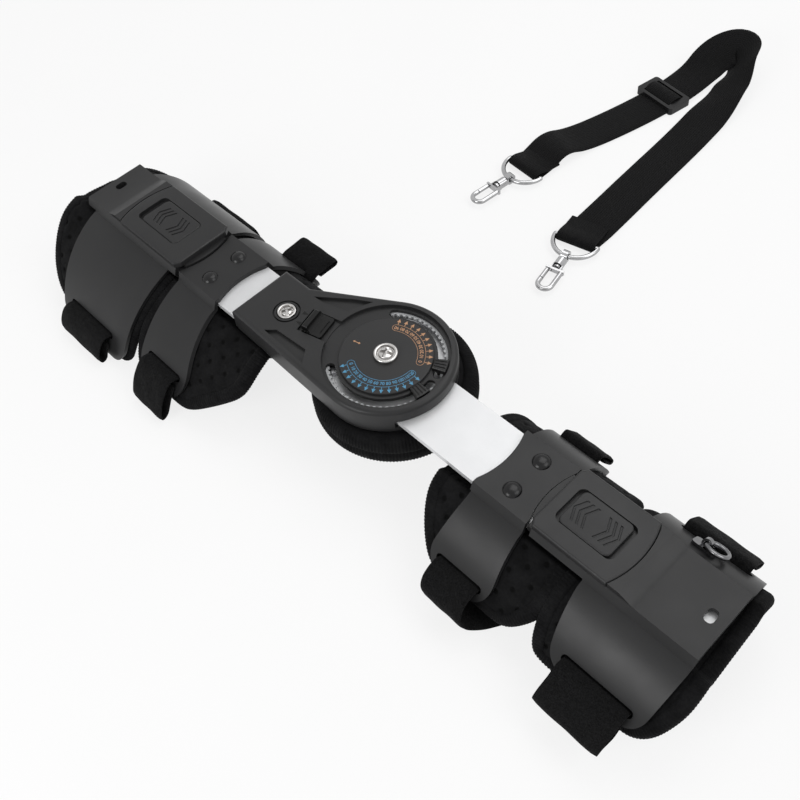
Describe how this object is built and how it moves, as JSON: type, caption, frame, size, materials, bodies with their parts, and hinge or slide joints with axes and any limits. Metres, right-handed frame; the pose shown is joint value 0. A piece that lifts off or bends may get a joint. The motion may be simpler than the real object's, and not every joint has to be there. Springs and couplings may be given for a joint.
{
  "type": "knee brace",
  "caption": "Single-upright hinged knee brace with an adjustable range-of-motion dial, telescoping padded cuffs and a loose clip-on shoulder strap.",
  "frame": {"origin": "centre of the brace's outline on the surface that its pads lie on, without the loose strap", "axes": "+X along the brace from the thigh cuffs to the calf cuffs, +Z out of the dial, +Y towards the side with the short wings and the loose strap"},
  "size_m": [0.4506, 0.4949, 0.0647],
  "materials": {
    "shell_plastic": "satin black moulded plastic",
    "cover_plastic": "matt black fine-textured plastic",
    "slider_plastic": "satin charcoal moulded plastic with ribs",
    "bar_aluminium": "pale satin aluminium, fine brushed",
    "dial_label": "black dial face with printed scales",
    "ring_plastic": "pale grey toothed ring",
    "stop_flexion": "glossy black stop button",
    "stop_extension": "glossy black stop button",
    "lock_plastic": "black lock button",
    "screw_steel": "zinc plated steel screw",
    "rivet_steel": "black domed rivet",
    "ring_chrome": "bright nickel plated wire",
    "clip_chrome": "dark nickel plated ring and barrel",
    "foam_fabric": "black perforated foam lined with fabric",
    "strap_fabric": "black woven strap",
    "webbing_fabric": "black woven webbing"
  },
  "bodies": {
    "thigh_frame": {"thigh_bar": "bar_aluminium", "thigh_inner_cuff": "shell_plastic", "thigh_inner_rivets": "rivet_steel", "thigh_inner_pad": "foam_fabric", "thigh_inner_strap_near": "strap_fabric", "thigh_inner_strap_far": "strap_fabric", "hinge_front_cover": "cover_plastic", "hinge_back_plate": "screw_steel", "hinge_back_cover": "cover_plastic", "dial_face": "dial_label", "stop_ring": "ring_plastic", "pivot_nut": "screw_steel", "pivot_screw": "screw_steel", "neck_screw": "screw_steel", "neck_nut": "screw_steel", "condyle_pad": "foam_fabric"},
    "calf_frame": {"calf_bar": "bar_aluminium", "hinge_cam": "screw_steel", "calf_inner_cuff": "shell_plastic", "calf_inner_rivets": "rivet_steel", "calf_inner_pad": "foam_fabric", "calf_inner_strap_near": "strap_fabric", "calf_inner_strap_far": "strap_fabric"},
    "thigh_slide_cuff": {"thigh_outer_cuff": "shell_plastic", "thigh_outer_pad": "foam_fabric", "thigh_outer_strap_near": "strap_fabric", "thigh_outer_strap_far": "strap_fabric", "thigh_slide_cover": "cover_plastic", "thigh_slide_guide": "cover_plastic"},
    "calf_slide_cuff": {"calf_outer_cuff": "shell_plastic", "calf_outer_pad": "foam_fabric", "calf_outer_strap_near": "strap_fabric", "calf_outer_strap_far": "strap_fabric", "calf_slide_cover": "cover_plastic", "calf_slide_guide": "cover_plastic", "clip_base": "clip_chrome"},
    "thigh_thumb": {"thigh_thumb_slider": "slider_plastic"},
    "calf_thumb": {"calf_thumb_slider": "slider_plastic"},
    "thigh_pin": {"thigh_lock_pin": "screw_steel"},
    "calf_pin": {"calf_lock_pin": "screw_steel"},
    "flexion_stop_button": {"flexion_stop": "stop_flexion"},
    "extension_stop_button": {"extension_stop": "stop_extension"},
    "quick_lock_button": {"quick_lock": "lock_plastic", "lock_bolt": "screw_steel"},
    "clip_swing": {"clip_ring": "clip_chrome"},
    "shoulder_strap": {"strap_webbing": "webbing_fabric", "strap_tri_glide": "cover_plastic", "strap_ring_a": "ring_chrome", "strap_ring_b": "ring_chrome", "strap_eye_a": "ring_chrome", "strap_eye_b": "ring_chrome"},
    "snap_hook_a": {"strap_hook_a": "ring_chrome"},
    "snap_hook_b": {"strap_hook_b": "ring_chrome"},
    "snap_gate_a": {"strap_gate_a": "ring_chrome"},
    "snap_gate_b": {"strap_gate_b": "ring_chrome"}
  },
  "joints": [
    {"name": "knee_hinge", "type": "hinge", "parent": "thigh_frame", "child": "calf_frame", "pos_m": [0.01275, 0.01978, 0.0525], "axis": [0, 0, 1], "range_deg": [0, 110]},
    {"name": "thigh_length_slide", "type": "slide", "parent": "thigh_frame", "child": "thigh_slide_cuff", "axis": [-1, 0, 0], "range_m": [0, 0.04]},
    {"name": "calf_length_slide", "type": "slide", "parent": "calf_frame", "child": "calf_slide_cuff", "axis": [1, 0, 0], "range_m": [0, 0.04]},
    {"name": "thigh_thumb_lock", "type": "slide", "parent": "thigh_slide_cuff", "child": "thigh_thumb", "axis": [-1, 0, 0], "range_m": [0, 0.004]},
    {"name": "calf_thumb_lock", "type": "slide", "parent": "calf_slide_cuff", "child": "calf_thumb", "axis": [1, 0, 0], "range_m": [0, 0.002]},
    {"name": "thigh_pin_drop", "type": "slide", "parent": "thigh_slide_cuff", "child": "thigh_pin", "axis": [0, 0, -1], "range_m": [0, 0.0032]},
    {"name": "calf_pin_drop", "type": "slide", "parent": "calf_slide_cuff", "child": "calf_pin", "axis": [0, 0, -1], "range_m": [0, 0.0032]},
    {"name": "flexion_stop_setting", "type": "hinge", "parent": "thigh_frame", "child": "flexion_stop_button", "pos_m": [0.01275, 0.01978, 0.059], "axis": [0, 0, 1], "range_deg": [-110.5, 9.5]},
    {"name": "extension_stop_setting", "type": "hinge", "parent": "thigh_frame", "child": "extension_stop_button", "pos_m": [0.01275, 0.01978, 0.059], "axis": [0, 0, 1], "range_deg": [0, 90]},
    {"name": "quick_lock_slide", "type": "slide", "parent": "thigh_frame", "child": "quick_lock_button", "axis": [0.9703, 0.2419, 0], "range_m": [0, 0.004]},
    {"name": "clip_ring_swing", "type": "hinge", "parent": "calf_slide_cuff", "child": "clip_swing", "pos_m": [0.18825, 0.04734, 0.0486], "axis": [0, 0.7793, -0.6266], "range_deg": [-170, 0]},
    {"name": "strap_lift_off", "type": "slide", "parent": "thigh_frame", "child": "shoulder_strap", "axis": [0, 0, 1], "range_m": [0, 0.15]},
    {"name": "snap_hook_a_swivel", "type": "hinge", "parent": "shoulder_strap", "child": "snap_hook_a", "pos_m": [-0.06969, 0.20128, 0.0038], "axis": [-0.1045, -0.9945, 0], "range_deg": [-90, 90]},
    {"name": "snap_gate_a_swing", "type": "hinge", "parent": "snap_hook_a", "child": "snap_gate_a", "pos_m": [-0.07516, 0.1914, 0.0038], "axis": [0, 0, 1], "range_deg": [0, 25], "stiffness_Nm_per_rad": 0.004, "springref_deg": -17.19},
    {"name": "snap_hook_b_swivel", "type": "hinge", "parent": "shoulder_strap", "child": "snap_hook_b", "pos_m": [0.00462, 0.17108, 0.0038], "axis": [0.2079, -0.9781, 0], "range_deg": [-90, 90]},
    {"name": "snap_gate_b_swing", "type": "hinge", "parent": "snap_hook_b", "child": "snap_gate_b", "pos_m": [0.00248, 0.16, 0.0038], "axis": [0, 0, 1], "range_deg": [0, 25], "stiffness_Nm_per_rad": 0.004, "springref_deg": -17.19}
  ],
  "couplings": [
    {"joint": "thigh_pin_drop", "follows": "thigh_thumb_lock", "ratio": 0.8},
    {"joint": "calf_pin_drop", "follows": "calf_thumb_lock", "ratio": 1.6}
  ]
}
